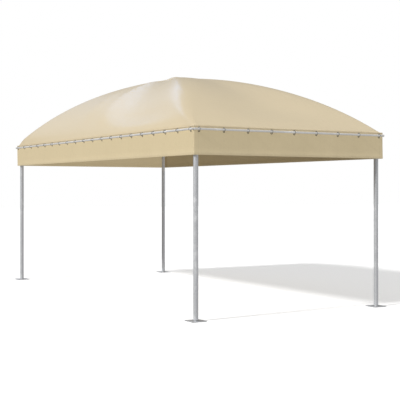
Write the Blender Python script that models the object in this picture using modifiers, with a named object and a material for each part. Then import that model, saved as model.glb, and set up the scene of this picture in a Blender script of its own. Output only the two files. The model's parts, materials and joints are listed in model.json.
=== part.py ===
"""Dome-roof gazebo on four round galvanised posts.

A ring of rectangular hollow beams is bolted to the outsides of the post heads.
Four arched hips and two cross arches rise from the ring to a crown hub, and a
coated fabric roof lies over them.  A straight valance hangs on the outside of the
ring, clamped between it and a round eave rail on each side.

Units are metres.  X runs along the long side, Y along the short side, Z is up, and
the origin is on the ground under the middle of the roof.
"""

import math

import bmesh
import bpy
from mathutils import Matrix, Vector

# Overall sizes
LENGTH = 6.10
WIDTH = 2.90
VALANCE_BOTTOM = 1.963
EAVE_TOP = 2.309
GAP = 0.0003

# Fabric
VALANCE_THICKNESS = 0.003
ROOF_THICKNESS = 0.004

# Grid lines of the roof sheet, from the crown out to the eave
ROOF_STEPS = 16
ROOF_STEP_POWER = 1.8

# Dome form: a parabola along the roof and a fuller arch across it
DOME_INSET = 0.020
DOME_RISE = 0.927
ACROSS_POWER = 0.70
HIP_SOFTNESS = 0.10
CROWN_RISE = 0.062
CROWN_RADIUS = 0.11

# Posts and base plates
POST_RADIUS = 0.03015
POST_WALL = 0.0029
POST_TOP = 2.280
POST_SIDES = 32
CAP_THICKNESS = 0.006
PLATE_SIDE = 0.200
PLATE_THICKNESS = 0.008
PLATE_HOLE_RADIUS = 0.007
PLATE_HOLE_OFFSET = 0.075
PLATE_HOLE_SIDES = 20
PLATE_CORNER_RADIUS = 0.008
PLATE_CORNER_SEGMENTS = 3

# Ring beams
BEAM_WIDTH = 0.030
BEAM_HEIGHT = 0.060
BEAM_WALL = 0.002

# Round rail outside the valance
RAIL_RADIUS = 0.01345
RAIL_DROP = 0.042

# Arched hips, cross arches, and the hub that they meet at.  The shares say how much
# of the way from the crown to the eave each arch runs close under the fabric.
HIP_TUBE_RADIUS = 0.01685
CROSS_TUBE_RADIUS = 0.01345
HIP_CLEARANCE = 0.005
CROSS_CLEARANCE = 0.002
HIP_KNEE_RISE = 0.018
CROSS_KNEE_RISE = 0.030
HIP_SHARES = (0.06, 0.92)
CROSS_SHARES = (0.09, 0.84)
BRACKET_LENGTH = 0.080
BRACKET_LEG = 0.045
BRACKET_THICKNESS = 0.006
HUB_RADIUS = 0.070
HUB_DROP = 0.060
HUB_HEIGHT = 0.060
PAD_RADIUS = 0.080
PAD_FALL = 0.025
PAD_STEPS = 6
TURNING_STEPS = 32

# Worked out from the sizes above
DOME_HALF_LENGTH = LENGTH / 2 - DOME_INSET
DOME_HALF_WIDTH = WIDTH / 2 - DOME_INSET
BEAM_OUTSET_X = LENGTH / 2 - VALANCE_THICKNESS - GAP
BEAM_OUTSET_Y = WIDTH / 2 - VALANCE_THICKNESS - GAP
BEAM_TOP = EAVE_TOP - ROOF_THICKNESS - GAP
POST_INSET = BEAM_WIDTH + GAP + POST_RADIUS
POST_X = BEAM_OUTSET_X - POST_INSET
POST_Y = BEAM_OUTSET_Y - POST_INSET
CAP_BOTTOM = POST_TOP + GAP
CAP_TOP = CAP_BOTTOM + CAP_THICKNESS
RAIL_Z = EAVE_TOP - RAIL_DROP

# Finishes: name, colour, roughness and metallic value
PLATE_STEEL = ("plate_steel", (0.50, 0.51, 0.52), 0.45, 0.80)
POST_STEEL = ("post_steel", (0.56, 0.57, 0.58), 0.36, 0.85)
BEAM_STEEL = ("beam_steel", (0.54, 0.55, 0.56), 0.42, 0.85)
RAIL_STEEL = ("rail_steel", (0.58, 0.58, 0.58), 0.34, 0.85)
ARCH_STEEL = ("arch_steel", (0.55, 0.56, 0.57), 0.38, 0.85)
FITTING_STEEL = ("fitting_steel", (0.48, 0.49, 0.50), 0.50, 0.80)
ROOF_FABRIC = ("roof_fabric", (0.74, 0.66, 0.48), 0.45, 0.0)
VALANCE_FABRIC = ("valance_fabric", (0.68, 0.58, 0.38), 0.50, 0.0)

CORNERS = {
    "front_right": (1, -1),
    "front_left": (-1, -1),
    "back_left": (-1, 1),
    "back_right": (1, 1),
}


def clear_scene():
    for scene_object in list(bpy.data.objects):
        bpy.data.objects.remove(scene_object, do_unlink=True)


def new_collection(name):
    collection = bpy.data.collections.new(name)
    bpy.context.scene.collection.children.link(collection)
    return collection


def principled(finish):
    name, colour, roughness, metallic = finish
    material = bpy.data.materials.get(name)
    if material is None:
        material = bpy.data.materials.new(name)
        material.use_nodes = True
        shader = material.node_tree.nodes["Principled BSDF"]
        shader.inputs["Base Color"].default_value = (*colour, 1.0)
        shader.inputs["Roughness"].default_value = roughness
        shader.inputs["Metallic"].default_value = metallic
    return material


def place(name, data, finish, smooth_angle=None):
    """Link a mesh or curve as a named sub-part of the gazebo."""
    part = bpy.data.objects.new(name, data)
    gazebo.objects.link(part)
    part.data.materials.append(principled(finish))
    if smooth_angle is not None:
        part.data.shade_smooth()
        part.data.set_sharp_from_angle(angle=math.radians(smooth_angle))
    return part


def box_mesh(name, low, high):
    """A box between two corners, in world units."""
    form = bmesh.new()
    bmesh.ops.create_cube(form, size=1.0)
    size = Vector(high) - Vector(low)
    middle = (Vector(high) + Vector(low)) / 2
    bmesh.ops.scale(form, vec=size, verts=form.verts)
    bmesh.ops.translate(form, vec=middle, verts=form.verts)
    mesh = bpy.data.meshes.new(name)
    form.to_mesh(mesh)
    form.free()
    return mesh


def disc_mesh(name, radius, height, sides):
    """An upright cylinder that stands on its own origin."""
    form = bmesh.new()
    bmesh.ops.create_cone(
        form, cap_ends=True, segments=sides, radius1=radius, radius2=radius, depth=height
    )
    bmesh.ops.translate(form, vec=(0, 0, height / 2), verts=form.verts)
    mesh = bpy.data.meshes.new(name)
    form.to_mesh(mesh)
    form.free()
    return mesh


def tube_curve(name, points, radius, resolution):
    """A round bar through the points, with closed ends."""
    curve = bpy.data.curves.new(name, "CURVE")
    curve.dimensions = "3D"
    curve.bevel_depth = radius
    curve.bevel_resolution = resolution
    curve.use_fill_caps = True
    spline = curve.splines.new("POLY")
    spline.points.add(len(points) - 1)
    for spline_point, point in zip(spline.points, points):
        spline_point.co = (*point, 1.0)
    return curve


def vault_height(x, y):
    """Height of the roof's outer face over a point of the plan, without the crown."""
    along = DOME_RISE * max(0.0, 1 - (x / DOME_HALF_LENGTH) ** 2)
    across = DOME_RISE * max(0.0, 1 - (y / DOME_HALF_WIDTH) ** 2) ** ACROSS_POWER
    blend = max(0.0, 1 - abs(along - across) / HIP_SOFTNESS)
    vault = min(along, across) - HIP_SOFTNESS / 4 * blend ** 2
    return EAVE_TOP + max(0.0, vault)


def roof_height(x, y):
    """The same, with the round rise that the pad on the hub gives the crown."""
    return vault_height(x, y) + CROWN_RISE / (1 + (math.hypot(x, y) / CROWN_RADIUS) ** 4)


def under_vault(x, y, depth):
    """The point at a depth under the vault, measured square to its outer face."""
    step = 0.002
    slope_x = (vault_height(x + step, y) - vault_height(x - step, y)) / (2 * step)
    slope_y = (vault_height(x, y + step) - vault_height(x, y - step)) / (2 * step)
    normal = Vector((-slope_x, -slope_y, 1.0)).normalized()
    return Vector((x, y, vault_height(x, y))) - normal * depth


def hip_share(along_share):
    """Where a hip crosses, as a share of the half width, for a share of the half length."""
    return math.sqrt(1 - (1 - along_share ** 2) ** (1 / ACROSS_POWER))


def plan_shares():
    """Grid lines from the crown out to the eave, closer together at both."""
    shares = []
    for step in range(1, ROOF_STEPS + 1):
        turn = (step / ROOF_STEPS) ** ROOF_STEP_POWER * math.pi / 2
        shares.append(math.sin(turn))
    return shares


def add_base_plates():
    for corner, (side_x, side_y) in CORNERS.items():
        half = PLATE_SIDE / 2
        mesh = box_mesh(f"base_plate_{corner}", (-half, -half, 0), (half, half, PLATE_THICKNESS))
        plate = place(f"base_plate_{corner}", mesh, PLATE_STEEL)
        plate.location = (side_x * POST_X, side_y * POST_Y, 0)
        form = bmesh.new()
        for hole_x in (-PLATE_HOLE_OFFSET, PLATE_HOLE_OFFSET):
            for hole_y in (-PLATE_HOLE_OFFSET, PLATE_HOLE_OFFSET):
                bmesh.ops.create_cone(
                    form, cap_ends=True, segments=PLATE_HOLE_SIDES, radius1=PLATE_HOLE_RADIUS,
                    radius2=PLATE_HOLE_RADIUS, depth=PLATE_THICKNESS * 3,
                    matrix=Matrix.Translation((hole_x, hole_y, PLATE_THICKNESS / 2)),
                )
        drill_mesh = bpy.data.meshes.new(f"anchor_holes_{corner}")
        form.to_mesh(drill_mesh)
        form.free()
        drill = bpy.data.objects.new(f"anchor_holes_{corner}", drill_mesh)
        drill.location = plate.location
        drill.hide_render = True
        drill.display_type = "WIRE"
        cutters.objects.link(drill)
        rounding = plate.modifiers.new("rounded_corners", "BEVEL")
        rounding.width = PLATE_CORNER_RADIUS
        rounding.segments = PLATE_CORNER_SEGMENTS
        rounding.limit_method = "WEIGHT"
        weights = plate.data.attributes.new("bevel_weight_edge", "FLOAT", "EDGE")
        for edge in plate.data.edges:
            start, end = (plate.data.vertices[index].co for index in edge.vertices)
            upright = abs(start.z - end.z) > PLATE_THICKNESS / 2
            weights.data[edge.index].value = 1.0 if upright else 0.0
        cut = plate.modifiers.new("anchor_holes", "BOOLEAN")
        cut.operation = "DIFFERENCE"
        cut.solver = "EXACT"
        cut.object = drill


def add_posts():
    """Round hollow posts, each on its base plate, with a flat cap on its head."""
    bottom = PLATE_THICKNESS + GAP
    for corner, (side_x, side_y) in CORNERS.items():
        form = bmesh.new()
        bmesh.ops.create_cone(
            form, cap_ends=False, segments=POST_SIDES, radius1=POST_RADIUS,
            radius2=POST_RADIUS, depth=POST_TOP - bottom,
        )
        mesh = bpy.data.meshes.new(f"post_{corner}")
        form.to_mesh(mesh)
        form.free()
        post = place(f"post_{corner}", mesh, POST_STEEL, smooth_angle=40)
        post.location = (side_x * POST_X, side_y * POST_Y, (POST_TOP + bottom) / 2)
        wall = post.modifiers.new("tube_wall", "SOLIDIFY")
        wall.thickness = POST_WALL
        wall.offset = -1
        wall.use_even_offset = True
        cap_mesh = disc_mesh(f"post_cap_{corner}", POST_RADIUS, CAP_THICKNESS, POST_SIDES)
        cap = place(f"post_cap_{corner}", cap_mesh, FITTING_STEEL, smooth_angle=40)
        cap.location = (side_x * POST_X, side_y * POST_Y, CAP_BOTTOM)


def hollow_beam(name, length, along):
    """A rectangular hollow section with open ends, centred on its own origin."""
    form = bmesh.new()
    bmesh.ops.create_cube(form, size=1.0)
    ends = [face for face in form.faces if abs(face.normal.x) > 0.5]
    bmesh.ops.delete(form, geom=ends, context="FACES_ONLY")
    bmesh.ops.scale(form, vec=(length, BEAM_WIDTH, BEAM_HEIGHT), verts=form.verts)
    mesh = bpy.data.meshes.new(name)
    form.to_mesh(mesh)
    form.free()
    beam = place(name, mesh, BEAM_STEEL)
    wall = beam.modifiers.new("section_wall", "SOLIDIFY")
    wall.thickness = BEAM_WALL
    wall.offset = -1
    wall.use_even_offset = True
    if along == "Y":
        beam.rotation_euler = (0, 0, math.pi / 2)
    return beam


def add_ring_beams():
    """The long beams run to the corners and the short ones fit between them."""
    middle_z = BEAM_TOP - BEAM_HEIGHT / 2
    long_y = BEAM_OUTSET_Y - BEAM_WIDTH / 2
    short_x = BEAM_OUTSET_X - BEAM_WIDTH / 2
    for name, side in (("front", -1), ("back", 1)):
        beam = hollow_beam(f"ring_beam_{name}", 2 * BEAM_OUTSET_X, "X")
        beam.location = (0, side * long_y, middle_z)
    short_length = 2 * (BEAM_OUTSET_Y - BEAM_WIDTH - GAP)
    for name, side in (("left", -1), ("right", 1)):
        beam = hollow_beam(f"ring_beam_{name}", short_length, "Y")
        beam.location = (side * short_x, 0, middle_z)


def arch_to_hub(foot, knee, shares, point_under):
    """Centre line of an arched tube: up from its foot, under the roof, to the hub's wall."""
    points = [foot, knee]
    for share in shares:
        points.append(point_under(share))
    last = points[-1]
    reach = HUB_RADIUS + GAP
    outward = Vector((last.x, last.y, 0)).normalized()
    points.append(Vector((outward.x * reach, outward.y * reach, last.z)))
    return points


def add_hips():
    """Arched hip tubes, from the post caps to the hub, just under the fabric."""
    depth = ROOF_THICKNESS + HIP_CLEARANCE + HIP_TUBE_RADIUS
    lowest, highest = HIP_SHARES
    shares = [share for share in reversed(plan_shares()) if lowest < share < highest]
    for corner, (side_x, side_y) in CORNERS.items():

        def point_under(share):
            x = side_x * share * DOME_HALF_LENGTH
            y = side_y * hip_share(share) * DOME_HALF_WIDTH
            return under_vault(x, y, depth)

        foot = Vector((side_x * POST_X, side_y * POST_Y, CAP_TOP + GAP))
        knee = foot + Vector((0, 0, HIP_KNEE_RISE))
        points = arch_to_hub(foot, knee, shares, point_under)
        curve = tube_curve(f"hip_arch_{corner}", points, HIP_TUBE_RADIUS, 2)
        place(f"hip_arch_{corner}", curve, ARCH_STEEL)


def add_angle_bracket(name, side):
    """A steel angle on the inner face of a long beam, with its shelf level with the beam's top."""
    back = side * (BEAM_OUTSET_Y - BEAM_WIDTH - GAP)
    front = back - side * BRACKET_LEG
    leg_face = back - side * BRACKET_THICKNESS
    bottom = BEAM_TOP - BRACKET_LEG
    shelf = BEAM_TOP - BRACKET_THICKNESS
    outline = [
        (back, BEAM_TOP), (back, bottom), (leg_face, bottom),
        (leg_face, shelf), (front, shelf), (front, BEAM_TOP),
    ]
    curve = bpy.data.curves.new(name, "CURVE")
    curve.dimensions = "2D"
    curve.fill_mode = "BOTH"
    curve.extrude = BRACKET_LENGTH / 2
    spline = curve.splines.new("POLY")
    spline.points.add(len(outline) - 1)
    spline.use_cyclic_u = True
    for spline_point, (y, z) in zip(spline.points, outline):
        spline_point.co = (y, z, 0, 1.0)
    bracket = place(name, curve, FITTING_STEEL)
    bracket.rotation_euler = (math.pi / 2, 0, math.pi / 2)


def add_cross_arches():
    """Arched tubes over the middle, from brackets on the long beams to the hub."""
    depth = ROOF_THICKNESS + CROSS_CLEARANCE + CROSS_TUBE_RADIUS
    lowest, highest = CROSS_SHARES
    shares = [hip_share(share) for share in reversed(plan_shares()) if lowest < share < highest]
    foot_y = BEAM_OUTSET_Y - BEAM_WIDTH - GAP - BRACKET_LEG / 2
    for name, side in (("front", -1), ("back", 1)):
        add_angle_bracket(f"arch_bracket_{name}", side)

        def point_under(share):
            return under_vault(0.0, side * share * DOME_HALF_WIDTH, depth)

        foot = Vector((0, side * foot_y, BEAM_TOP + GAP))
        knee = foot + Vector((0, 0, CROSS_KNEE_RISE))
        points = arch_to_hub(foot, knee, shares, point_under)
        curve = tube_curve(f"cross_arch_{name}", points, CROSS_TUBE_RADIUS, 2)
        place(f"cross_arch_{name}", curve, ARCH_STEEL)


def add_turned(name, profile):
    """A turned fitting from its outline, given from the top of the axis down the outside."""
    mesh = bpy.data.meshes.new(name)
    edges = [(index, index + 1) for index in range(len(profile) - 1)]
    mesh.from_pydata([(radius, 0, height) for radius, height in profile], edges, [])
    piece = place(name, mesh, FITTING_STEEL)
    screw = piece.modifiers.new("turning", "SCREW")
    screw.steps = TURNING_STEPS
    screw.render_steps = TURNING_STEPS
    screw.use_merge_vertices = True
    screw.merge_threshold = 0.00005
    screw.use_smooth_shade = True


def add_crown():
    """A round hub between the arches, under a domed pad that lifts the fabric."""
    vault_top = vault_height(0, 0)
    hub_bottom = vault_top - HUB_DROP
    hub_top = hub_bottom + HUB_HEIGHT
    hub_outline = [(0, hub_top), (HUB_RADIUS, hub_top), (HUB_RADIUS, hub_bottom), (0, hub_bottom)]
    add_turned("crown_hub", hub_outline)
    pad_top = roof_height(0, 0) - ROOF_THICKNESS - 2 * GAP
    pad_outline = []
    for step in range(PAD_STEPS + 1):
        share = step / PAD_STEPS
        pad_outline.append((PAD_RADIUS * share, pad_top - PAD_FALL * share ** 2))
    pad_outline.append((PAD_RADIUS, hub_top + GAP))
    pad_outline.append((0, hub_top + GAP))
    add_turned("crown_pad", pad_outline)


def add_roof():
    """The roof sheet: one fabric shell from the crown down to a flat edge over the valance."""
    shares = plan_shares()
    half_lines_x = [0.0] + [share * DOME_HALF_LENGTH for share in shares] + [LENGTH / 2]
    half_lines_y = [0.0] + [hip_share(share) * DOME_HALF_WIDTH for share in shares] + [WIDTH / 2]
    steps = ROOF_STEPS + 1
    form = bmesh.new()
    bmesh.ops.create_grid(form, x_segments=2 * steps, y_segments=2 * steps, size=steps)
    for face in list(form.faces):
        nearest = min(face.verts, key=lambda corner: abs(corner.co.x) + abs(corner.co.y))
        furthest = max(face.verts, key=lambda corner: abs(corner.co.x) + abs(corner.co.y))
        bmesh.utils.face_split(face, nearest, furthest)
    for vertex in form.verts:
        x = math.copysign(half_lines_x[round(abs(vertex.co.x))], vertex.co.x)
        y = math.copysign(half_lines_y[round(abs(vertex.co.y))], vertex.co.y)
        vertex.co = (x, y, roof_height(x, y))
    mesh = bpy.data.meshes.new("roof_membrane")
    form.to_mesh(mesh)
    form.free()
    roof = place("roof_membrane", mesh, ROOF_FABRIC, smooth_angle=60)
    sheet = roof.modifiers.new("fabric_thickness", "SOLIDIFY")
    sheet.thickness = ROOF_THICKNESS
    sheet.offset = -1


def add_valance():
    """Straight bands on the outside of the ring, from the roof's edge down to the hem."""
    top = EAVE_TOP - ROOF_THICKNESS - GAP
    outer_x = LENGTH / 2
    outer_y = WIDTH / 2
    inner_x = outer_x - VALANCE_THICKNESS
    inner_y = outer_y - VALANCE_THICKNESS
    bands = {
        "front": ((-outer_x, -outer_y), (outer_x, -inner_y)),
        "back": ((-outer_x, inner_y), (outer_x, outer_y)),
        "left": ((-outer_x, -inner_y + GAP), (-inner_x, inner_y - GAP)),
        "right": ((inner_x, -inner_y + GAP), (outer_x, inner_y - GAP)),
    }
    for name, (low, high) in bands.items():
        mesh = box_mesh(f"valance_{name}", (*low, VALANCE_BOTTOM), (*high, top))
        place(f"valance_{name}", mesh, VALANCE_FABRIC)


def add_eave_rails():
    """Round rails outside the valance.  Each one ends flush with the valance corners."""
    rail_x = LENGTH / 2 + GAP + RAIL_RADIUS
    rail_y = WIDTH / 2 + GAP + RAIL_RADIUS
    long_end = LENGTH / 2
    short_end = WIDTH / 2
    for name, side in (("front", -1), ("back", 1)):
        ends = [(-long_end, side * rail_y, RAIL_Z), (long_end, side * rail_y, RAIL_Z)]
        curve = tube_curve(f"eave_rail_{name}", ends, RAIL_RADIUS, 4)
        place(f"eave_rail_{name}", curve, RAIL_STEEL)
    for name, side in (("left", -1), ("right", 1)):
        ends = [(side * rail_x, -short_end, RAIL_Z), (side * rail_x, short_end, RAIL_Z)]
        curve = tube_curve(f"eave_rail_{name}", ends, RAIL_RADIUS, 4)
        place(f"eave_rail_{name}", curve, RAIL_STEEL)


clear_scene()
gazebo = new_collection("dome_roof_gazebo")
cutters = new_collection("cutters")
add_base_plates()
add_posts()
add_ring_beams()
add_hips()
add_cross_arches()
add_crown()
add_roof()
add_valance()
add_eave_rails()
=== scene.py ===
import json
import math

import bmesh
import bpy
from mathutils import Matrix, Vector

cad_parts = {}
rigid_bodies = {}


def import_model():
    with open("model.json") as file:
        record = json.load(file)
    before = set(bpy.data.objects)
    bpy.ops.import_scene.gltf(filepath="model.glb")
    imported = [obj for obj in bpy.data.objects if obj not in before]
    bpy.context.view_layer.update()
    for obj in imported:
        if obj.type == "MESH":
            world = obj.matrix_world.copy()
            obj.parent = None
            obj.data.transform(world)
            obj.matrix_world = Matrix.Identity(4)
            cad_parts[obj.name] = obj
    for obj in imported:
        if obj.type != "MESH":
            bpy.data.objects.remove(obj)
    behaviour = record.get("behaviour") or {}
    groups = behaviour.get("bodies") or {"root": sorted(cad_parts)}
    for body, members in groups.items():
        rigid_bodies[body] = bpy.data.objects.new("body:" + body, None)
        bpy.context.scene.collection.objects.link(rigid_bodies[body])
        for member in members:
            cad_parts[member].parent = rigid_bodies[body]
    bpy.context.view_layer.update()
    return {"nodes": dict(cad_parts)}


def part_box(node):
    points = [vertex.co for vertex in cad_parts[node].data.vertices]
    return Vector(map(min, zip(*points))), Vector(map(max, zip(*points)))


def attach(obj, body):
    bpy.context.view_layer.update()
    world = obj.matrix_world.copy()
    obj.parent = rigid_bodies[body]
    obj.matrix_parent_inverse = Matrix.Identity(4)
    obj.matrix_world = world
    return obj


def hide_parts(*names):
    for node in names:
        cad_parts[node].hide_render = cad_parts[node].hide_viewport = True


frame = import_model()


# Base plates
# Square 8 mm steel plates with four empty anchor holes, cut, drilled, welded under the posts and
# hot-dip galvanised, which leaves zinc crystals, cloudy patches and a little white bloom.

corner_names = ("front_right", "front_left", "back_left", "back_right")


class Reading:
    """What a finish reads at each point of a surface: a socket, with the operators of shader maths."""

    def __init__(self, tree, socket=None):
        self.tree = tree
        self.socket = socket

    def node(self, kind, settings=None, inputs=None, output=0):
        """Add a node: its settings first, then the values or readings of its inputs."""
        made = self.tree.nodes.new(kind)
        for setting, value in (settings or {}).items():
            setattr(made, setting, value)
        for name, value in (inputs or {}).items():
            if isinstance(value, Reading):
                self.tree.links.new(value.socket, made.inputs[name])
            else:
                made.inputs[name].default_value = value
        return Reading(self.tree, made.outputs[output])

    def maths(self, operation, first, second=0.0):
        return self.node("ShaderNodeMath", {"operation": operation}, {0: first, 1: second})

    def __add__(self, other):
        return self.maths("ADD", self, other)

    def __radd__(self, other):
        return self.maths("ADD", other, self)

    def __sub__(self, other):
        return self.maths("SUBTRACT", self, other)

    def __rsub__(self, other):
        return self.maths("SUBTRACT", other, self)

    def __mul__(self, other):
        return self.maths("MULTIPLY", self, other)

    def __rmul__(self, other):
        return self.maths("MULTIPLY", other, self)

    def __abs__(self):
        return self.maths("ABSOLUTE", self)

    def sine(self):
        return self.maths("SINE", self)

    def rise(self, low, high):
        """0 at low, 1 at high, with a soft step between them."""
        return self.node(
            "ShaderNodeMapRange", {"interpolation_type": "SMOOTHSTEP"},
            {"Value": self, "From Min": low, "From Max": high},
        )

    def part(self, axis):
        """The X, Y or Z part of a vector, or the red, green or blue of a colour."""
        return self.node("ShaderNodeSeparateXYZ", None, {0: self}, "XYZ".index(axis))

    def scaled(self, *factors):
        """The vector, stretched by one factor along each axis."""
        return self.node("ShaderNodeVectorMath", {"operation": "MULTIPLY"}, {0: self, 1: factors})

    def tint(self, first, second):
        """The first colour where this reads 0, the second where it reads 1."""
        colours = [colour if isinstance(colour, Reading) else (*colour, 1.0) for colour in (first, second)]
        settings = {"data_type": "RGBA"}
        return self.node("ShaderNodeMix", settings, {0: self, 6: colours[0], 7: colours[1]}, 2)

    def grain(self, size, detail=3.0):
        """Soft noise from 0 to 1 with patches of one size in metres, read along this vector."""
        return self.node("ShaderNodeTexNoise", None, {"Vector": self, "Scale": 1 / size, "Detail": detail})

    def feed(self, shader, name):
        self.tree.links.new(self.socket, shader.inputs[name])

    def emboss(self, shader, depth, strength):
        """Use this height, from 0 to 1, as relief of a depth in metres."""
        inputs = {"Strength": strength, "Distance": depth, "Height": self}
        self.node("ShaderNodeBump", None, inputs).feed(shader, "Normal")


def new_finish(name, **constants):
    """A material, its shader with constants on the sockets, and its object coordinates in metres."""
    material = bpy.data.materials.new(name)
    material.use_nodes = True
    tree = material.node_tree
    shader = tree.nodes["Principled BSDF"]
    for socket, value in constants.items():
        shader.inputs[socket.replace("_", " ")].default_value = value
    place = Reading(tree).node("ShaderNodeTexCoord", output="Object")
    return material, shader, place


def galvanised(name, dark, bright, crystal, gloss, metal=0.96):
    """Hot-dip zinc in two tones, with crystals of a size in metres, cloudy patches and fine runs."""
    cloud_size = 0.11
    run_width = 0.012
    run_stretch = 0.08
    fine_size = 0.0016
    relief_depth = 0.00025
    chalky = [0.80 * (0.5 * (one + 1.0)) for one in bright]
    finish, shader, place = new_finish(name)
    flake = place.node("ShaderNodeTexVoronoi", None, {"Vector": place, "Scale": 1 / crystal}, "Color")
    shade = flake.part("X")
    cloud = place.grain(cloud_size)
    run = place.scaled(1.0, 1.0, run_stretch).grain(run_width, 2.0)
    fine = place.grain(fine_size, 2.0)
    bloom = cloud.rise(0.52, 0.74) * 0.55
    tone = shade * 0.45 + run * 0.35 + fine * 0.20
    bloom.tint(tone.tint(dark, bright), chalky).feed(shader, "Base Color")
    (gloss + shade * 0.10 + cloud * 0.12 + bloom * 0.18).feed(shader, "Roughness")
    (metal - bloom * 0.30).feed(shader, "Metallic")
    (shade * 0.35 + run * 0.30 + fine * 0.35).emboss(shader, relief_depth, 0.5)
    return finish


def dress(node, finish):
    """Give a solid that keeps its own shape its finish."""
    materials = frame["nodes"][node].data.materials
    materials.clear()
    materials.append(finish)


plate_zinc = galvanised(
    "galvanised_plate_finish", (0.42, 0.43, 0.45), (0.64, 0.65, 0.67),
    crystal=0.009, gloss=0.38, metal=0.55,
)
for corner in corner_names:
    dress(f"base_plate_{corner}", plate_zinc)
    dress(f"post_cap_{corner}", plate_zinc)


# Posts
# Round 60.3 mm steel tubes with a 2.9 mm wall, cut square and welded to the base plates all round
# before galvanising, which the ripples of the weld bead still show.

post_radius = 0.03015
post_wall = 0.0029
post_weld_leg = 0.006
post_lengths = 8
plate_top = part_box("base_plate_front_right")[1].z


def rings_between(shape, rings, closed=False):
    """Fill the skin between rings of vertices, and from the last to the first where it closes."""
    pairs = list(zip(rings, rings[1:]))
    if closed:
        pairs.append((rings[-1], rings[0]))
    for first, second in pairs:
        for index, corner in enumerate(first):
            shape.faces.new((corner, first[index - 1], second[index - 1], second[index]))


def turned(shape, profile, place, sides, ripples=0, swell=0.0):
    """Turn a closed profile of (radius, height) points about the Z axis of a placing matrix."""
    middle = sum(radius for radius, _ in profile) / len(profile)
    rings = []
    for step in range(sides):
        angle = 2 * math.pi * step / sides
        grown = 1 + swell * math.sin(ripples * angle)
        ring = []
        for radius, height in profile:
            out = middle + (radius - middle) * grown
            point = Vector((out * math.cos(angle), out * math.sin(angle), height * grown))
            ring.append(shape.verts.new(place @ point))
        rings.append(ring)
    rings_between(shape, rings, closed=True)


def swept(shape, path, outline, capped=True):
    """Carry a closed outline of (side, up) points along a path without twist."""
    aim = (path[1] - path[0]).normalized()
    side = aim.orthogonal().normalized()
    rings = []
    for index, point in enumerate(path):
        before = path[max(index - 1, 0)]
        after = path[min(index + 1, len(path) - 1)]
        turned_aim = (after - before).normalized()
        side = aim.rotation_difference(turned_aim) @ side
        aim = turned_aim
        up = aim.cross(side)
        rings.append([shape.verts.new(point + side * across + up * over) for across, over in outline])
    rings_between(shape, rings)
    if capped:
        shape.faces.new(rings[0])
        shape.faces.new(rings[-1][::-1])
    return rings


def round_outline(radius, sides):
    """The outline of a round bar, for sweeping."""
    turns = [2 * math.pi * step / sides for step in range(sides)]
    return [(radius * math.cos(turn), radius * math.sin(turn)) for turn in turns]


def hollow_tube(shape, path, radius, wall, sides):
    """A tube with a real wall and square open ends."""
    outer = swept(shape, path, round_outline(radius, sides), capped=False)
    inner = swept(shape, path, round_outline(radius - wall, sides), capped=False)
    for end in (0, -1):
        rings_between(shape, [outer[end], inner[end]])


def weld_bead(shape, place, radius, leg):
    """A fillet weld round a tube, with the ripples of its passes."""
    profile = [
        (radius - leg * 0.2, -leg * 0.1),
        (radius + leg, -leg * 0.1),
        (radius + leg * 0.85, leg * 0.25),
        (radius + leg * 0.45, leg * 0.7),
        (radius + leg * 0.1, leg),
        (radius - leg * 0.2, leg),
    ]
    turned(shape, profile, place, sides=96, ripples=24, swell=0.10)


def add_piece(name, shape, finish, slot, *nodes):
    """Make a piece from a finished shape. It rides on the one body and may stand for CAD nodes."""
    same_point = 0.000002
    sharp_edge = math.radians(38)
    bmesh.ops.remove_doubles(shape, verts=shape.verts, dist=same_point)
    bmesh.ops.recalc_face_normals(shape, faces=shape.faces)
    mesh = bpy.data.meshes.new(name)
    shape.to_mesh(mesh)
    shape.free()
    mesh.shade_smooth()
    mesh.set_sharp_from_angle(angle=sharp_edge)
    mesh.materials.append(finish)
    piece = bpy.data.objects.new(name, mesh)
    bpy.context.scene.collection.objects.link(piece)
    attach(piece, "root")
    if nodes:
        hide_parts(*nodes)
    return piece


tube_zinc = galvanised(
    "galvanised_tube_finish", (0.48, 0.49, 0.51), (0.72, 0.73, 0.75),
    crystal=0.007, gloss=0.30, metal=0.50,
)
post_feet = {}
weld_shape = bmesh.new()
for corner in corner_names:
    low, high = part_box(f"post_{corner}")
    middle = (low + high) / 2
    post_feet[corner] = Vector((middle.x, middle.y, plate_top))
    heights = [low.z + (high.z - low.z) * step / post_lengths for step in range(post_lengths + 1)]
    shape = bmesh.new()
    stations = [Vector((middle.x, middle.y, height)) for height in heights]
    hollow_tube(shape, stations, post_radius, post_wall, sides=64)
    add_piece(f"post_tube_{corner}", shape, tube_zinc, "galvanised_tube", f"post_{corner}")
    weld_bead(weld_shape, Matrix.Translation(post_feet[corner]), post_radius, post_weld_leg)
weld_zinc = galvanised(
    "galvanised_weld_finish", (0.30, 0.31, 0.32), (0.50, 0.51, 0.52), crystal=0.004, gloss=0.42,
)
add_piece("post_foot_welds", weld_shape, weld_zinc, "galvanised_plate")


# Ring beams
# A ring of 60 x 30 mm rectangular hollow section with rounded edges stands on the outside of the
# posts. The long beams run to the corners, where their ends are closed, welded and ground round.

beam_edge = 0.0025
corner_round = 0.006
outside_y = 1.43
bead_radius = 0.0022
bead_steps = 24


def rounded_box(shape, low, high, edge, upright=None, upright_round=0.0):
    """A box with rounded edges. The upright edges that a test picks get a larger rounding first."""
    for vertex in bmesh.ops.create_cube(shape, size=1.0)["verts"]:
        vertex.co = Vector([low[axis] if vertex.co[axis] < 0 else high[axis] for axis in range(3)])
    if upright is not None:
        picked = [one for one in shape.edges if upright(one)]
        bmesh.ops.bevel(shape, geom=picked, offset=upright_round, segments=6, affect="EDGES", profile=0.5)
        shape.verts.ensure_lookup_table()
    sharp = [one for one in shape.edges if one.is_valid and one.calc_face_angle(0.0) > 0.6]
    bmesh.ops.bevel(shape, geom=sharp, offset=edge, segments=3, affect="EDGES", profile=0.5)


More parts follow.
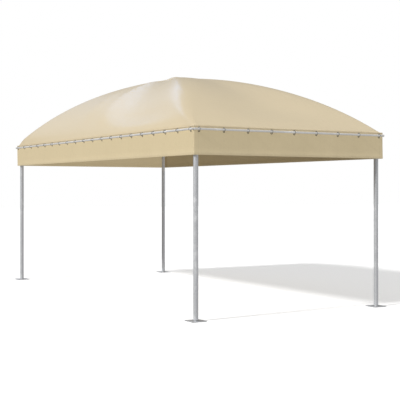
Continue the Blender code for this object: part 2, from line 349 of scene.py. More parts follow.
def outer_upright(edge):
    """True for an upright edge on the outside of the ring."""
    start, end = (vertex.co for vertex in edge.verts)
    return abs(start.z - end.z) > 0.01 and abs(start.y) > outside_y


beam_zinc = galvanised(
    "galvanised_beam_finish", (0.40, 0.41, 0.42), (0.62, 0.63, 0.64), crystal=0.008, gloss=0.30,
)
for side in ("front", "back", "left", "right"):
    low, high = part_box(f"ring_beam_{side}")
    shape = bmesh.new()
    if side in ("front", "back"):
        rounded_box(shape, low, high, beam_edge, outer_upright, corner_round)
    else:
        rounded_box(shape, low, high, beam_edge)
    add_piece(f"ring_section_{side}", shape, beam_zinc, "galvanised_tube", f"ring_beam_{side}")

bead_shape = bmesh.new()
for side_x in (-1, 1):
    for side_y in (-1, 1):
        low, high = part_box("ring_beam_right" if side_x > 0 else "ring_beam_left")
        joint_y = side_y * high.y
        flat_width = high.x - low.x - 2 * beam_edge
        run = [Vector((low.x + beam_edge + flat_width * step / bead_steps, joint_y, low.z))
               for step in range(bead_steps + 1)]
        rings = swept(bead_shape, run, round_outline(bead_radius, 10))
        for step, ring in enumerate(rings):
            grown = 1 + 0.12 * math.sin(step * 2.1)
            for vertex in ring:
                vertex.co = run[step] + (vertex.co - run[step]) * grown
add_piece("ring_corner_welds", bead_shape, weld_zinc, "galvanised_plate")


# Post bolts
# Each post is drawn against the two beams at its corner by M10 through-bolts. Their washers, nuts
# and thread ends show on the post's inner sides.

post_thread = 0.010
post_bolt_height = 2.262
post_bolt_stagger = 0.024
washer_sink = 0.001


def facing(origin, outward):
    """A placing matrix with Z outward from a face, and X level along it."""
    along = outward.cross(Vector((0, 0, 1))).normalized()
    turn = Matrix((along, outward.cross(along), outward)).transposed()
    return Matrix.Translation(origin) @ turn.to_4x4()


def bolt_end(shape, place, thread):
    """Washer, hexagon nut and thread end on a face, from the thread's diameter."""
    bore = thread * 0.46
    washer_radius = thread * 1.05
    washer_top = thread * 0.16
    washer = [(bore, 0.0), (washer_radius, 0.0), (washer_radius, washer_top), (bore, washer_top)]
    turned(shape, washer, place, sides=32)
    base = thread * 0.17
    top = base + thread * 0.8
    chamfer = thread * 0.08
    nut = [
        (bore, base), (thread * 0.86, base), (thread * 0.96, base + chamfer),
        (thread * 0.96, top - chamfer), (thread * 0.86, top), (bore, top),
    ]
    turned(shape, nut, place, sides=6)
    end = [
        (0.0, base), (thread * 0.48, base), (thread * 0.48, top + thread * 0.32),
        (thread * 0.40, top + thread * 0.42), (0.0, top + thread * 0.42),
    ]
    turned(shape, end, place, sides=20)


bolt_zinc = galvanised(
    "zinc_plated_bolt_finish", (0.56, 0.56, 0.56), (0.74, 0.74, 0.74),
    crystal=0.002, gloss=0.36, metal=0.55,
)
shape = bmesh.new()
for foot in post_feet.values():
    inward_x = Vector((-math.copysign(1, foot.x), 0, 0))
    inward_y = Vector((0, -math.copysign(1, foot.y), 0))
    for inward, height in ((inward_x, post_bolt_height), (inward_y, post_bolt_height - post_bolt_stagger)):
        spot = Vector((foot.x, foot.y, height)) + inward * (post_radius - washer_sink)
        bolt_end(shape, facing(spot, inward), post_thread)
add_piece("post_bolts", shape, bolt_zinc, "galvanised_plate")


# Arched frame
# Four 33.7 mm hip tubes rise from the post caps and two 26.9 mm tubes from brackets on the long
# beams. They are rolled to the line of the dome and welded to a round hub under the crown.

eave_top = 2.309
half_length = 3.03
half_width = 1.43
dome_rise = 0.927
across_power = 0.70
hip_softness = 0.10
solid_roof = 0.004
hub_radius = 0.070
joint_gap = 0.0003
arch_weld_leg = 0.004
arch_steps = 44

# Each arch's radius, its rise from the foot to the knee, the shares of the way from the crown to
# the eave between which it runs close under the fabric, and its distance from the solid roof.
hip_tube = 0.01685
hip_knee = 0.018
hip_shares = (0.075, 0.915)
hip_clearance = 0.005
cross_tube = 0.01345
cross_knee = 0.030
cross_shares = (0.10, 0.83)
cross_clearance = 0.004


def vault_height(x, y):
    """Height of the dome's outer face over a point of the plan, without the crown."""
    along = dome_rise * max(0.0, 1 - (x / half_length) ** 2)
    across = dome_rise * max(0.0, 1 - (y / half_width) ** 2) ** across_power
    blend = max(0.0, 1 - abs(along - across) / hip_softness)
    return eave_top + max(0.0, min(along, across) - hip_softness / 4 * blend ** 2)


def vault_normal(x, y):
    """The way straight out of the dome over a point of the plan."""
    step = 0.002
    slope_x = (vault_height(x + step, y) - vault_height(x - step, y)) / (2 * step)
    slope_y = (vault_height(x, y + step) - vault_height(x, y - step)) / (2 * step)
    return Vector((-slope_x, -slope_y, 1.0)).normalized()


def hip_share(along_share):
    """Where a hip crosses, as a share of the half width, for a share of the half length."""
    return math.sqrt(1 - (1 - min(1.0, along_share) ** 2) ** (1 / across_power))


def arch_path(foot, knee_rise, highest, lowest, plan_point, depth):
    """Centre line of an arch: up from its foot, under the dome and level into the hub's wall."""
    path = [foot, foot + Vector((0, 0, knee_rise * 0.5)), foot + Vector((0, 0, knee_rise))]
    turn_high = math.asin(highest)
    turn_low = math.asin(lowest)
    for step in range(arch_steps + 1):
        share = math.sin(turn_low + (turn_high - turn_low) * step / arch_steps)
        x, y = plan_point(share)
        path.append(Vector((x, y, vault_height(x, y))) - vault_normal(x, y) * depth)
    last = path[-1]
    outward = Vector((last.x, last.y, 0)).normalized()
    hub_wall = hub_radius + joint_gap
    path.append(Vector((outward.x * hub_wall, outward.y * hub_wall, last.z)))
    return path


def eased(path):
    """The same line with its corners cut off twice, which rounds them, and its ends kept."""
    for _ in range(2):
        cut = [path[0]]
        for first, second in zip(path, path[1:]):
            cut += [first.lerp(second, 0.25), first.lerp(second, 0.75)]
        cut.append(path[-1])
        path = cut
    return path


arch_zinc = galvanised(
    "galvanised_arch_finish", (0.44, 0.45, 0.46), (0.68, 0.69, 0.70), crystal=0.007, gloss=0.27,
)
joint_shape = bmesh.new()
for corner, foot in post_feet.items():
    start = Vector((foot.x, foot.y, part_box(f"post_cap_{corner}")[1].z + joint_gap))
    signs = (math.copysign(1, foot.x), math.copysign(1, foot.y))

    def under_hip(share):
        return signs[0] * share * half_length, signs[1] * hip_share(share) * half_width

    line = eased(arch_path(start, hip_knee, *hip_shares, under_hip, solid_roof + hip_clearance + hip_tube))
    shape = bmesh.new()
    swept(shape, line, round_outline(hip_tube, 28))
    add_piece(f"hip_tube_{corner}", shape, arch_zinc, "galvanised_tube", f"hip_arch_{corner}")
    weld_bead(joint_shape, Matrix.Translation(start), hip_tube, arch_weld_leg)
    weld_bead(joint_shape, facing(line[-1], (line[-2] - line[-1]).normalized()), hip_tube, arch_weld_leg)

for side, sign in (("front", -1), ("back", 1)):
    low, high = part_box(f"arch_bracket_{side}")
    start = Vector((0, (low.y + high.y) / 2, high.z + joint_gap))

    def under_cross(share):
        return 0.0, sign * hip_share(share) * half_width

    depth = solid_roof + cross_clearance + cross_tube
    line = eased(arch_path(start, cross_knee, *cross_shares, under_cross, depth))
    shape = bmesh.new()
    swept(shape, line, round_outline(cross_tube, 24))
    add_piece(f"cross_tube_{side}", shape, arch_zinc, "galvanised_tube", f"cross_arch_{side}")
    weld_bead(joint_shape, Matrix.Translation(start), cross_tube, arch_weld_leg)
    weld_bead(joint_shape, facing(line[-1], (line[-2] - line[-1]).normalized()), cross_tube, arch_weld_leg)
add_piece("arch_welds", joint_shape, weld_zinc, "galvanised_plate")


# Arch brackets
# A short length of 6 mm angle, bolted to the inner face of each long beam by two M8 bolts, carries
# the foot of a cross arch on its shelf.

angle_thickness = 0.006
bracket_thread = 0.008
bracket_bolt_x = 0.024
bracket_bolt_rise = 0.016

shape = bmesh.new()
for side, sign in (("front", -1), ("back", 1)):
    dress(f"arch_bracket_{side}", plate_zinc)
    low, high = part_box(f"arch_bracket_{side}")
    leg_face = max(abs(low.y), abs(high.y)) - angle_thickness
    for bolt_x in (-bracket_bolt_x, bracket_bolt_x):
        spot = Vector((bolt_x, sign * leg_face, low.z + bracket_bolt_rise))
        bolt_end(shape, facing(spot, Vector((0, -sign, 0))), bracket_thread)
add_piece("bracket_bolts", shape, bolt_zinc, "galvanised_plate")


# Crown hub and pad
# A thick steel disc takes the six arch ends. The turned pad on it is rounded over like a saucer and
# lifts the fabric to the small raised crown.

hub_low, hub_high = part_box("crown_hub")
pad_low, pad_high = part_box("crown_pad")
hub_edge = 0.003
pad_radius = 0.080
pad_edge = 0.002
pad_fall = 0.025
pad_clearance = 0.0045
pad_steps = 10


def rounded_profile(radius, bottom, top, edge):
    """The outline of a disc with rounded rims, from the axis round to the axis."""
    turns = [math.pi / 2 * step / 4 for step in range(5)]
    profile = [(0.0, bottom)]
    for turn in turns:
        profile.append((radius - edge + edge * math.sin(turn), bottom + edge - edge * math.cos(turn)))
    for turn in turns:
        profile.append((radius - edge + edge * math.cos(turn), top - edge + edge * math.sin(turn)))
    profile.append((0.0, top))
    return profile


shape = bmesh.new()
turned(shape, rounded_profile(hub_radius, hub_low.z, hub_high.z, hub_edge), Matrix(), sides=72)
add_piece("crown_hub_disc", shape, plate_zinc, "galvanised_plate", "crown_hub")
profile = [(0.0, pad_low.z), (pad_radius - pad_edge, pad_low.z), (pad_radius, pad_low.z + pad_edge)]
for step in range(pad_steps, -1, -1):
    share = step / pad_steps
    profile.append((pad_radius * share, pad_high.z - pad_clearance - pad_fall * share ** 2))
shape = bmesh.new()
turned(shape, profile, Matrix(), sides=72)
add_piece("crown_pad_saucer", shape, plate_zinc, "galvanised_plate", "crown_pad")


# Roof
# One sheet of beige coated polyester, welded from gores along the hips and drawn over the tubes. It
# dips between them, most on one side of the middle arch, and folds down over the valance.

roof_steps = 88
step_power = 1.30
sheet_thickness = 0.0012

# The raised crown, and the low shoulder on its right.
crown_rise = 0.064
crown_spread = 0.150
shoulder_rise = 0.022
shoulder_spread = 0.38

# How widely the fabric rounds over a hip, in metres of height, at its foot and near the crown.
long_softness = (0.10, 0.142)
end_softness = (0.12, 0.20)

# The hollow of a long side: its depth and scale, how fast it grows from the arch, fades to the hip
# and grows down the roof, how softly it starts at the arch, and how wide the change is to the other
# side of the arch, which has none. An end side has one shallow dip.
long_dip = 0.120
dip_scale = 6.77
arch_power = 0.89
hip_power = 1.315
down_power = 0.7
arch_round = 0.20
arch_lean = 0.35
end_dip = 0.0486

# A soft bulge beside the middle arch, and some fullness at the feet of the hips on the left end.
bulge_rise = 0.024
bulge_place = 0.42
bulge_spread = 0.36
foot_fullness = 0.030
foot_level = 0.09

# Small creases at the feet of the hips: their depth, spacing, height on the roof and reach, and how
# far a hip runs along the roof there for each metre that it runs across.
crease_depth = 0.0022
crease_pitch = 0.062
crease_height = 0.07
crease_reach = 0.16
plan_slant = 2.1

# How far the sheet is let down from the solid's face on to the tubes, and less of it at the crown.
let_down_depth = 0.0042
crown_let_down = 0.0009


def soft_step(low, high, value):
    """0 at low, 1 at high, with a soft step between them, which may run down as well."""
    share = min(1.0, max(0.0, (value - low) / (high - low)))
    return share * share * (3 - 2 * share)


def sheet_height(x, y):
    """Height of the drawn fabric: round over the hips, and a little hollow between the arches."""
    share_x = min(1.0, abs(x) / half_length)
    share_y = min(1.0, abs(y) / half_width)
    along = 1 - share_x ** 2
    across = (1 - share_y ** 2) ** across_power
    level = min(along, across)
    apart = abs(along - across) * dome_rise
    low_softness, high_softness = long_softness if across < along else end_softness
    softness = low_softness + (high_softness - low_softness) * soft_step(0.05, 0.60, level)
    round_off = softness / 4 * max(0.0, 1 - apart / softness) ** 2
    tube_off = hip_softness / 4 * max(0.0, 1 - apart / hip_softness) ** 2
    spare = (softness - hip_softness) / 4 - round_off + tube_off
    free = soft_step(0.0, 0.40, level)
    if across < along:
        hip_x = math.sqrt(1 - across)
        spot = min(1.0, share_x / hip_x)
        from_arch = math.hypot(spot, arch_round) - arch_round
        lean = -2 * x * y / (half_length * half_width) / (share_x ** 2 + share_y ** 2 + 0.000001)
        loose = soft_step(-arch_lean, arch_lean, lean)
        hollow = loose * long_dip * dip_scale * from_arch ** arch_power * (1 - spot) ** hip_power
        hollow = hollow * hip_x ** down_power * free
    else:
        hip_y = hip_share(share_x)
        spot = min(1.0, share_y / hip_y) if hip_y > 0 else 1.0
        hollow = end_dip * (1 - spot ** 2) ** 2 * hip_y * free
    hollow -= spare * soft_step(0.0, 0.75, spot)
    height = dome_rise * level - tube_off - hollow
    height += shoulder_rise * math.exp(-(1 - level) / shoulder_spread ** 2) * soft_step(-0.10, 0.50, x)
    height += crown_rise * math.exp(-(math.hypot(x, y) / crown_spread) ** 2)
    beside_arch = (math.copysign(x, -x * y) + bulge_place) / bulge_spread
    low_down = soft_step(0.42, 0.75, share_y) * soft_step(1.0, 0.80, share_y)
    height += bulge_rise * math.exp(-beside_arch ** 2) * low_down
    left_end = soft_step(-0.50, -0.85, x / half_length)
    height += foot_fullness * left_end * level / foot_level * math.exp(1 - level / foot_level)
    return eave_top + max(0.0, height)


def crease(x, y):
    """Small tension folds that run up the hips from their feet."""
    rise = vault_height(x, y) - eave_top
    strength = math.exp(-((rise - crease_height) / crease_height) ** 2)
    across_hip = (half_length - abs(x)) - (half_width - abs(y)) * plan_slant
    wave = math.sin(across_hip * 2 * math.pi / crease_pitch)
    return crease_depth * strength * wave * math.exp(-(across_hip / crease_reach) ** 2)


def roof_point(x, y):
    """A point of the sheet's outer face, let down on to the tubes."""
    rise = sheet_height(x, y)
    let_down = let_down_depth * soft_step(0.0, 0.06, rise - eave_top) - crease(x, y)
    let_down -= crown_let_down * soft_step(0.3, 0.0, math.hypot(x, y))
    return Vector((x, y, rise)) - vault_normal(x, y) * let_down


def signed_share(step):
    """How far out a line of the grid lies, as a share. Lines lie closer at the middle and the eave."""
    share = math.sin((abs(step) / roof_steps) ** step_power * math.pi / 2)
    return math.copysign(share, step)


shape = bmesh.new()
steps = range(-roof_steps, roof_steps + 1)
lines_x = {step: signed_share(step) * half_length for step in steps}
lines_y = {step: math.copysign(hip_share(abs(signed_share(step))), step) * half_width for step in steps}
grid = {}
for row in steps:
    for column in steps:
        inside = abs(row) < roof_steps and abs(column) < roof_steps
        x, y = lines_x[column], lines_y[row]
        point = roof_point(x, y) if inside else Vector((x, y, eave_top))
        grid[column, row] = shape.verts.new(point)

# A cell that a hip crosses is split into two triangles along it.
for row in steps[:-1]:
    for column in steps[:-1]:
        cell = (grid[column, row], grid[column + 1, row], grid[column + 1, row + 1], grid[column, row + 1])
        across_cell, up_cell = column + 0.5, row + 0.5
        if abs(across_cell) != abs(up_cell):
            shape.faces.new(cell)
        elif across_cell * up_cell > 0:
            shape.faces.new((cell[0], cell[1], cell[2]))
            shape.faces.new((cell[0], cell[2], cell[3]))
        else:
            shape.faces.new((cell[0], cell[1], cell[3]))
            shape.faces.new((cell[1], cell[2], cell[3]))

# The rim is followed round once, with a fan of directions at each corner, and the edge of the
# sheet lies flat on the ring's shelf before it folds down over the valance.
band_face_x = 3.0498
band_face_y = 1.4498
shelf_inset = 0.0105
edge_round = 0.0115
fold_round = 0.005
fold_drop = 0.018
fold_flare = 0.0004
fan_steps = 6
on_edge = 0.00001

rim = []
for side in range(4):
    middle_angle = -math.pi / 2 + side * math.pi / 2
    for step in list(steps)[:-1]:
        around = ((step, -roof_steps), (roof_steps, step), (-step, roof_steps), (-roof_steps, -step))
        turns = [middle_angle]
        if step == -roof_steps:
            turns = [middle_angle - math.pi / 2 * (1 - share / fan_steps) for share in range(fan_steps + 1)]
        rim += [(grid[around[side]], Vector((math.cos(turn), math.sin(turn), 0))) for turn in turns]
fold_profile = [(0.0, 0.0), (edge_round - fold_round, 0.0)]
for step in range(1, 6):
    turn = math.pi / 2 * step / 5
    reach = edge_round - fold_round + fold_round * math.sin(turn)
    fold_profile.append((reach, fold_round * (math.cos(turn) - 1)))
fold_profile.append((edge_round + fold_flare, -fold_drop))
ring = [vertex for vertex, _ in rim]
rim_base = {vertex: vertex.co.copy() for vertex, _ in rim}
shelf_x = band_face_x - shelf_inset - half_length
shelf_y = band_face_y - shelf_inset - half_width
for out, drop in fold_profile:
    outer = []
    for vertex, aim in rim:
        base = rim_base[vertex]
        step_x = math.copysign(shelf_x, base.x) if abs(base.x) > half_length - on_edge else 0.0
        step_y = math.copysign(shelf_y, base.y) if abs(base.y) > half_width - on_edge else 0.0
        outer.append(shape.verts.new(base + Vector((step_x, step_y, drop)) + aim * out))
    for index in range(len(rim)):
        loop = [ring[index - 1], outer[index - 1], outer[index], ring[index]]
        if loop[0] is loop[3]:
            loop.pop()
        shape.faces.new(loop)
    ring = outer

# The coated cloth reads its place on its own gore, which the attribute "cut" gives further down:
# X along the eave, Y up the slope and Z the distance from the hip.
thread = 0.0013
cloth_relief = 0.0008
# The colour of the dust at the eave, which also tints the painted shade on the feet of the hips.
dust_and_shade_colour = (0.448, 0.368, 0.244)
roof_fabric, shader, place = new_finish("roof_fabric_finish", Specular_IOR_Level=0.5, IOR=1.48)
cut = place.node("ShaderNodeAttribute", {"attribute_name": "cut"}, None, "Vector")
weave = (cut.part("X") * (2 * math.pi / thread)).sine() * (cut.part("Y") * (2 * math.pi / thread)).sine()
from_hip = cut.part("Z")
on_seam = 1 - from_hip.rise(0.012, 0.020)
broad = place.grain(0.55, 2.0)
mottle = place.grain(0.045)
wash = cut.scaled(1.0, 0.07, 0.0).grain(0.06, 2.0)
hem_dust = 1 - place.part("Z").rise(2.300, 2.345)
# Painted shade: the rounding over each hip is painted darker on the lower part of the roof.
painted_hip_shade = (1 - from_hip.rise(0.01, 0.15)) * (1 - place.part("Z").rise(2.42, 2.90))
colour = broad.tint((0.574, 0.483, 0.323), (0.598, 0.503, 0.341))
colour = (mottle.rise(0.42, 0.75) * 0.12).tint(colour, (0.540, 0.450, 0.298))
colour = (wash.rise(0.50, 0.78) * 0.08).tint(colour, (0.632, 0.542, 0.398))
colour = (weave * 0.05 + 0.05).tint(colour, (0.486, 0.402, 0.263))
colour = (hem_dust * 0.12).tint(colour, dust_and_shade_colour)
# The painted shade on the feet of the hips, towards the same colour as the dust.
colour = (painted_hip_shade * 0.26).tint(colour, dust_and_shade_colour)
colour.feed(shader, "Base Color")
(0.27 + mottle * 0.04 + wash * 0.03 + hem_dust * 0.10).feed(shader, "Roughness")
(weave * 0.015 + on_seam * 0.02 + mottle * 0.04).emboss(shader, cloth_relief, 0.8)

# For the threads a side counts as even, so the way up its slope is a share of the height less a
# share of the way out. The distance from a hip is taken along the roof and narrowed by its slant.
hip_slant = 0.45
long_slope = (1.0, 0.55)
end_slope = (0.35, 0.93)

roof = add_piece("roof_sheet", shape, roof_fabric, "roof_fabric", "roof_membrane")
cut_layer = roof.data.attributes.new("cut", "FLOAT_VECTOR", "CORNER")
for face in roof.data.polygons:
    share_x = min(1.0, abs(face.center.x) / half_length)
    share_y = min(1.0, abs(face.center.y) / half_width)
    long_side = (1 - share_y ** 2) ** across_power < 1 - share_x ** 2
    for index in face.loop_indices:
        spot = roof.data.vertices[roof.data.loops[index].vertex_index].co
        share = min(1.0, abs(spot.y) / half_width)
        hip_x = half_length * math.sqrt(1 - (1 - share ** 2) ** across_power)
        beside = abs(abs(spot.x) - hip_x) * hip_slant
        if long_side:
            up = long_slope[0] * spot.z - abs(spot.y) * long_slope[1]
            cut_layer.data[index].vector = (spot.x, up, beside)
        else:
            up = end_slope[0] * spot.z - abs(spot.x) * end_slope[1]
            cut_layer.data[index].vector = (spot.y, up, beside)
body = roof.modifiers.new("cloth_thickness", "SOLIDIFY")
body.thickness = sheet_thickness
body.offset = -1


# Valance
# A straight band of the same fabric hangs all round from the ring beams. It is one strip, seamed
# near the corners of the short sides, with a welded 40 mm hem that is sewn twice.

band_round = 0.010
band_cloth = 0.0013
band_pitch = 0.045
hem_depth = 0.040
band_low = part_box("valance_front")[0].z
band_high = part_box("valance_front")[1].z
hem_top = band_low + hem_depth
above_hem = band_high - band_low - hem_depth
hem_inner = -band_cloth - 0.0014
hangs_from = 2.25
drawn_in = 0.0012

# The band hangs in slight waves, each with its swing in metres, its rate and its start.
band_waves = ((0.0026, 1.7, 0.0), (0.0016, 5.3, 1.0), (0.0008, 11.0, 0.0))


def band_path():
    """Points round the band, set in by the rounding of its corners, each with the way out."""
    path = []
    for side in range(4):
        out_turn = -math.pi / 2 + side * math.pi / 2
        out = Vector((math.cos(out_turn), math.sin(out_turn), 0))
        along = Vector((-out.y, out.x, 0))
        half = (band_face_x if side % 2 == 0 else band_face_y) - band_round
        reach = (band_face_y if side % 2 == 0 else band_face_x) - band_round
        pieces = round(2 * half / band_pitch)
        for step in range(pieces + 1):
            run = -half + 2 * half * step / pieces
            path.append((out * reach + along * run, out))
        for step in range(1, 8):
            turn = out_turn + math.pi / 2 * step / 8
            path.append((out * reach + along * half, Vector((math.cos(turn), math.sin(turn), 0))))
    return path


# The section goes down the outer face, round the thicker hem and up the inner face.
heights = [band_high - 0.0003]
heights += [hem_top + 0.001 + above_hem * share for share in (0.86, 0.72, 0.58, 0.44, 0.30, 0.15, 0.0)]
section = [(0.0, height) for height in heights]
section += [(0.0006, hem_top - 0.002), (0.0007, band_low + hem_depth * 0.5), (0.0007, band_low + 0.002)]
section += [(0.0001, band_low), (-band_cloth - 0.0008, band_low)]
section += [(hem_inner, band_low + 0.002), (hem_inner, hem_top - 0.002)]
section += [(-band_cloth, height) for height in heights[::-1]]
shape = bmesh.new()
rings = []
for base, out in band_path():
    phase = base.x * 3.1 + base.y * 4.3
    wave = sum(swing * math.sin(phase * rate + start) for swing, rate, start in band_waves)
    ring = []
    for offset, height in section:
        hang = min(1.0, max(0.0, (hangs_from - height) / (hangs_from - band_low)))
        point = base + out * (band_round + offset + wave * hang ** 1.4 - drawn_in * hang)
        ring.append(shape.verts.new((point.x, point.y, height)))
    rings.append(ring)
rings_between(shape, rings, closed=True)

# The cloth reads its place along each side, which is X on the long sides and Y on the short ones.
stitch_length = 0.0042
upper_row = hem_top - 0.005
lower_row = band_low + 0.006
corner_seam = band_face_y - 0.060
valance_fabric, shader, place = new_finish("valance_fabric_finish", Specular_IOR_Level=0.45, IOR=1.48)
facing_x = abs(place.node("ShaderNodeNewGeometry", None, None, "Normal").part("X")).rise(0.68, 0.74)
along = place.part("X") * (1 - facing_x) + place.part("Y") * facing_x
up = place.part("Z")
weave = (along * (2 * math.pi / thread)).sine() * (up * (2 * math.pi / thread)).sine()
dash = (along * (2 * math.pi / stitch_length)).sine().rise(-0.35, 0.1)
first_row = 1 - abs(up - upper_row).rise(0.0006, 0.0011)
second_row = 1 - abs(up - lower_row).rise(0.0006, 0.0011)
end_seam = (1 - abs(abs(along) - corner_seam).rise(0.0012, 0.0022)) * facing_x
stitch = (first_row + second_row) * dash
stitch_groove = first_row + second_row
on_hem = 1 - up.rise(hem_top - 0.0015, hem_top + 0.0005)
broad = place.grain(0.42, 2.0)
mottle = place.grain(0.035)
streak = place.scaled(1.0, 1.0, 0.10).grain(0.035, 2.0)
splash = (1 - up.rise(band_low, band_low + 0.10)) * place.grain(0.02).rise(0.45, 0.75)
colour = broad.tint((0.579, 0.482, 0.301), (0.615, 0.515, 0.327))
colour = (mottle.rise(0.42, 0.75) * 0.18).tint(colour, (0.52, 0.425, 0.265))
colour = (streak.rise(0.52, 0.80) * 0.14).tint(colour, (0.49, 0.405, 0.255))
colour = (splash * 0.12 + on_hem * 0.05).tint(colour, (0.42, 0.36, 0.25))
colour = (end_seam * 0.45).tint(colour, (0.42, 0.35, 0.22))
colour = (stitch * 0.75).tint(colour, (0.70, 0.62, 0.45))
colour.feed(shader, "Base Color")
(0.44 + mottle * 0.08 + splash * 0.12 + stitch * 0.15).feed(shader, "Roughness")
relief = weave * 0.015 + stitch * 0.35 - stitch_groove * 0.25 - end_seam * 0.4 + mottle * 0.1
relief.emboss(shader, cloth_relief, 0.8)
band = add_piece(
    "valance_band", shape, valance_fabric, "valance_fabric",
    "valance_front", "valance_back", "valance_left", "valance_right",
)


# Eave rails
# Round 26.9 mm galvanised tubes lie along the outside of the valance on all four sides and clamp
# the fabric. They are cut flush with the corners and closed by grey plastic end plugs.

rail_radius = 0.01345
rail_wall = 0.0023
rail_lengths = 24
plug_radius = rail_radius - rail_wall - 0.0002
lip_radius = rail_radius - 0.0003
plug_profile = [
    (0.0, -0.012), (plug_radius, -0.012), (plug_radius, 0.0002), (lip_radius, 0.0002),
    (lip_radius, 0.0014), (rail_radius - 0.0016, 0.0026), (rail_radius * 0.5, 0.0033), (0.0, 0.0035),
]
rail_zinc = galvanised(
    "galvanised_rail_finish", (0.51, 0.50, 0.49), (0.67, 0.66, 0.64),
    crystal=0.006, gloss=0.36, metal=0.30,
)
plug_shape = bmesh.new()
rail_lines = {}
for side in ("front", "back", "left", "right"):
    low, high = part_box(f"eave_rail_{side}")
    middle = (low + high) / 2
    aim = Vector((1, 0, 0)) if side in ("front", "back") else Vector((0, 1, 0))
    reach = (high - low).dot(aim) / 2
    rail_lines[side] = (middle, aim)
    runs = [-reach + 2 * reach * step / rail_lengths for step in range(rail_lengths + 1)]
    shape = bmesh.new()
    hollow_tube(shape, [middle + aim * run for run in runs], rail_radius, rail_wall, sides=40)
    add_piece(f"rail_tube_{side}", shape, rail_zinc, "galvanised_tube", f"eave_rail_{side}")
    for sign in (-1, 1):
        turn = (aim * sign).to_track_quat("Z", "Y").to_matrix().to_4x4()
        turned(plug_shape, plug_profile, Matrix.Translation(middle + aim * sign * reach) @ turn, sides=36)
plug_plastic, shader, place = new_finish("plug_plastic_finish", Specular_IOR_Level=0.5)
haze = place.grain(0.006)
haze.tint((0.42, 0.42, 0.43), (0.52, 0.52, 0.52)).feed(shader, "Base Color")
(0.42 + haze * 0.22).feed(shader, "Roughness")
place.grain(0.0008, 2.0).emboss(shader, 0.0001, 0.5)
add_piece("rail_end_plugs", plug_shape, plug_plastic, "galvanised_tube")


# Fastenings
# U-bolts of 6 mm rod, gone dull, clamp each rail through dark oxidised eyelets in the valance and
# through the ring beam, where washers and nuts hold them: 20 on a long side and 9 on a short one.

rod_radius = 0.003
bend = rail_radius + rod_radius

# A rod runs through the beam and past its inner face, and at a corner it ends inside the beam.
rod_past_beam = 0.012
corner_rod_short = 0.008

# An eyelet's half thickness, and for an upper and a lower one the radius of its bore, the radius of
# its rim and how far it sits beyond its leg of the U-bolt.
eyelet_half_height = 0.0011
upper_eyelet = (0.0042, 0.0120, -0.0015)
lower_eyelet = (0.0074, 0.0150, 0.004)

# How many U-bolts a side has, and how far the last ones are from its middle.
fastenings = {"front": (20, 2.98), "back": (20, 2.98), "left": (9, 1.38), "right": (9, 1.38)}

rod_zinc = galvanised(
    "dulled_rod_finish", (0.13, 0.13, 0.13), (0.24, 0.24, 0.23),
    crystal=0.002, gloss=0.40, metal=0.45,
)
eyelet_metal, shader, place = new_finish("eyelet_finish")
patina = place.grain(0.004)
patina.tint((0.030, 0.027, 0.025), (0.085, 0.078, 0.068)).feed(shader, "Base Color")
(0.34 + patina * 0.25).feed(shader, "Roughness")
(0.60 - patina * 0.25).feed(shader, "Metallic")
place.grain(0.0012, 2.0).emboss(shader, 0.0001, 0.4)
for side, (count, last) in fastenings.items():
    middle, aim = rail_lines[side]
    out = Vector((middle.x, middle.y, 0)) - aim * Vector((middle.x, middle.y, 0)).dot(aim)
    face = band_face_y if side in ("front", "back") else band_face_x
    rail_out = out.length
    out = out.normalized()
    beam_low, beam_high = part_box(f"ring_beam_{side}")
    beam_inner = min(abs(out.dot(beam_low)), abs(out.dot(beam_high)))
    rods = bmesh.new()
    eyelets = bmesh.new()
    for number in range(count):
        run = -last + 2 * last * number / (count - 1)
        seat = out * rail_out + aim * run + Vector((0, 0, middle.z))
        at_corner = number in (0, count - 1)
        leg = rail_out - beam_inner + (-corner_rod_short if at_corner else rod_past_beam)
        path = [seat + Vector((0, 0, bend)) - out * leg]
        for step in range(11):
            turn = math.pi * step / 10
            path.append(seat + Vector((0, 0, bend * math.cos(turn))) + out * bend * math.sin(turn))
        path.append(seat - Vector((0, 0, bend)) - out * leg)
        swept(rods, path, round_outline(rod_radius, 10))
        for sign in (-1, 1):
            spot = seat + Vector((0, 0, sign * bend))
            bore, rim_radius, beyond = upper_eyelet if sign > 0 else lower_eyelet
            grommet = facing(spot + out * (face - rail_out) + Vector((0, 0, sign * beyond)), out)
            profile = []
            for step in range(8):
                turn = 2 * math.pi * step / 8
                radius = (rim_radius + bore) / 2 + (rim_radius - bore) / 2 * math.cos(turn)
                profile.append((radius, eyelet_half_height * math.sin(turn)))
            turned(eyelets, profile, grommet, sides=24)
            if not at_corner:
                bolt_end(rods, facing(spot - out * (rail_out - beam_inner), -out), 2 * rod_radius)
    add_piece(f"u_bolts_{side}", rods, rod_zinc, "galvanised_tube")
    add_piece(f"eyelets_{side}", eyelets, eyelet_metal, "galvanised_plate")


# Studio
# A pale floor that runs out of sight, a soft key light from the front, a flat fill from the right
# rear, a warm bounce from below, a light from overhead and a low card for the rails. Two cool panels
# far off to the left draw the sheen of the roof.

floor_reach = 60
floor_corners = [(-floor_reach, -floor_reach, 0), (floor_reach, -floor_reach, 0),
                 (floor_reach, floor_reach, 0), (-floor_reach, floor_reach, 0)]
floor_mesh = bpy.data.meshes.new("floor")
floor_mesh.from_pydata(floor_corners, [], [(0, 1, 2, 3)])
floor = bpy.data.objects.new("floor", floor_mesh)
bpy.context.scene.collection.objects.link(floor)
floor_paint, _, _ = new_finish(
    "floor_finish", Roughness=0.9, Specular_IOR_Level=0.0, Base_Color=(0.85, 0.85, 0.85, 1.0),
    Emission_Color=(1.0, 1.0, 1.0, 1.0), Emission_Strength=0.45,
)
floor_mesh.materials.append(floor_paint)
floor.visible_diffuse = False
floor.visible_glossy = False

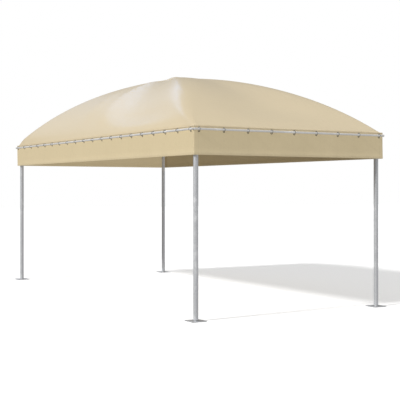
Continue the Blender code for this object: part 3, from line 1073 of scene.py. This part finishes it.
# The backdrop is white to the camera and lights the scene with less than a third of that.
world = bpy.data.worlds.new("studio")
world.use_nodes = True
bpy.context.scene.world = world
seen = Reading(world.node_tree).node("ShaderNodeLightPath", output="Is Camera Ray")
background = world.node_tree.nodes["Background"]
background.inputs["Color"].default_value = (1.0, 1.0, 1.0, 1.0)
(seen * 0.70 + 0.30).feed(background, "Strength")


def add_sun(name, toward, strength, softness, shadow=True):
    """A distant light from a direction, with its softness in degrees."""
    lamp = bpy.data.lights.new(name, "SUN")
    lamp.energy = strength
    lamp.angle = math.radians(softness)
    lamp.use_shadow = shadow
    holder = bpy.data.objects.new(name, lamp)
    holder.rotation_euler = Vector(toward).to_track_quat("Z", "Y").to_euler()
    bpy.context.scene.collection.objects.link(holder)
    return holder


# Only the key and the overhead light throw shadows, and of these suns only the key draws a sheen.
key = add_sun("key_light", (0.07, -0.84, 0.54), strength=2.84, softness=5.0)
fill = add_sun("fill_light", (0.87, 0.50, 0.0), strength=1.57, softness=30.0, shadow=False)
bounce = add_sun("floor_bounce", (0.0, -0.8, -0.6), strength=0.38, softness=30.0, shadow=False)
bounce.data.color = (1.0, 0.90, 0.76)
low_card = add_sun("low_card", (0.5, -0.6, -0.6), strength=0.80, softness=40.0, shadow=False)
overhead = add_sun("overhead_light", (0.0, 0.0, 1.0), strength=1.10, softness=70.0)
for light in (fill, bounce, low_card, overhead):
    light.visible_glossy = False

# The low card lights the rails alone, which throw no shadow, and the overhead light spares the floor.
rails = bpy.data.collections.new("rails")
shaded = bpy.data.collections.new("shaded_by_all_but_rails")
for number, side in enumerate(fastenings):
    rail = bpy.data.objects[f"rail_tube_{side}"]
    rails.objects.link(rail)
    shaded.objects.link(rail)
    shaded.collection_objects[number].light_linking.link_state = "EXCLUDE"
low_card.light_linking.receiver_collection = rails
key.light_linking.blocker_collection = shaded
overhead.light_linking.blocker_collection = shaded
lit = bpy.data.collections.new("lit_from_overhead")
lit.objects.link(floor)
lit.collection_objects[0].light_linking.link_state = "EXCLUDE"
overhead.light_linking.receiver_collection = lit

sheen_distance = 12
sheen_colour = (0.30, 0.53, 1.0)
roof_spot = Vector((0.6, -0.9, 2.9))


def add_sheen_panel(name, toward, width, height, power):
    """A cool panel, far off in a direction from a spot on the roof, that shows only as sheen."""
    panel = bpy.data.lights.new(name, "AREA")
    panel.shape = "RECTANGLE"
    panel.size = width
    panel.size_y = height
    panel.energy = power
    panel.color = sheen_colour
    holder = bpy.data.objects.new(name, panel)
    aim = Vector(toward).normalized()
    holder.location = aim * sheen_distance + roof_spot
    holder.rotation_euler = aim.to_track_quat("Z", "Y").to_euler()
    holder.visible_diffuse = False
    bpy.context.scene.collection.objects.link(holder)


add_sheen_panel("sheen_panel", (-0.830, 0.090, 0.551), width=8.2, height=1.2, power=108.0)
add_sheen_panel("low_sheen_panel", (-0.953, -0.017, 0.302), width=7.0, height=2.4, power=23.0)

lens = bpy.data.cameras.new("camera")
lens.lens = 84.39
lens.sensor_width = 36.0
lens.shift_y = -0.0274
camera = bpy.data.objects.new("camera", lens)
camera.location = (12.548, -6.954, 1.560)
camera.rotation_euler = (math.radians(90), 0, math.radians(59.53))
bpy.context.scene.collection.objects.link(camera)
bpy.context.scene.camera = camera
bpy.context.scene.view_settings.view_transform = "Standard"
